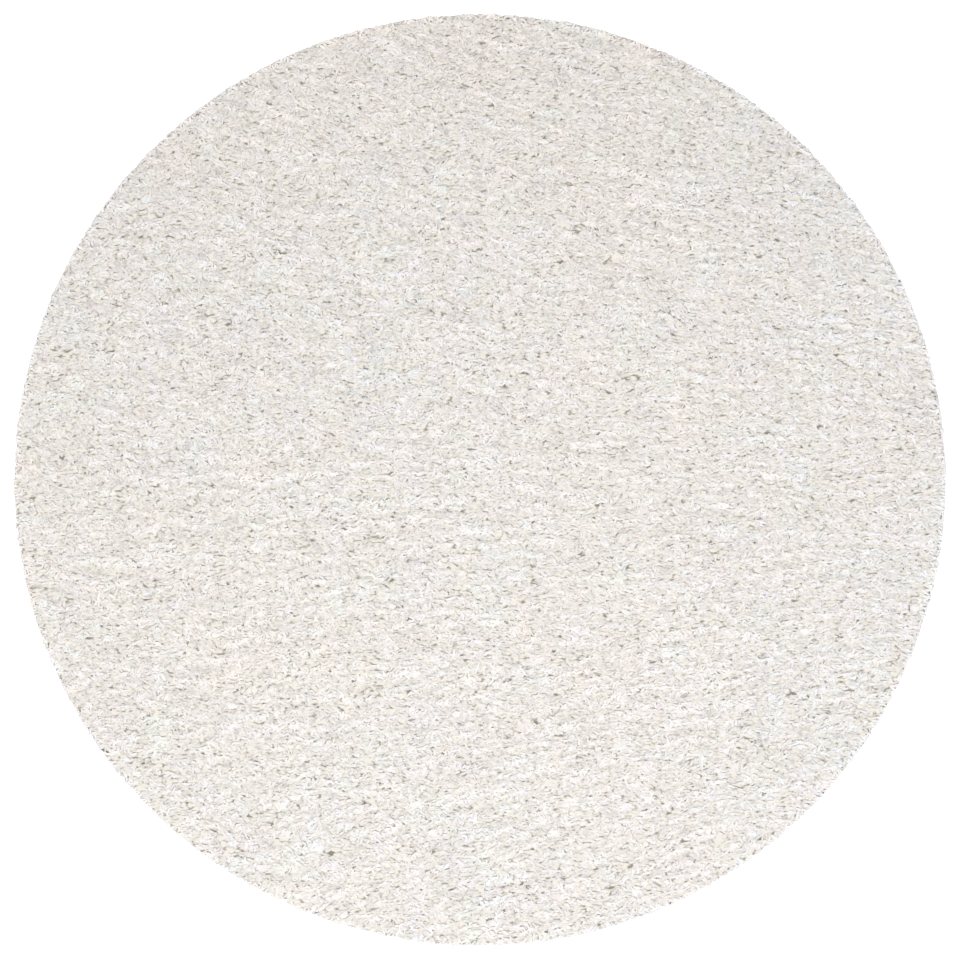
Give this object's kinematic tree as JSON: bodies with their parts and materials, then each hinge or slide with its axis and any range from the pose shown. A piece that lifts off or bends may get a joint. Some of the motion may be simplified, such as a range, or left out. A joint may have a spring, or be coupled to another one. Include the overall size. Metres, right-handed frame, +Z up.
{
  "type": "shag rug",
  "caption": "Round off-white shag rug that lies flat on a floor: long twisted cut pile on a thin woven backing, trimmed to a clean circle.",
  "frame": {"origin": "middle of the underside, where the rug rests on the floor", "axes": "+Z up through the pile; +Y runs up the rug as it is seen from above, +X to its right"},
  "size_m": [1.52, 1.52, 0.035],
  "materials": {
    "pile_yarn": "matt twisted cut pile, off-white with warm and grey strands, darker in the gaps",
    "backing": "coarse plain weave under a matt stiffening coat"
  },
  "bodies": {
    "root": {"shag_rug": "pile_yarn"}
  },
  "joints": []
}
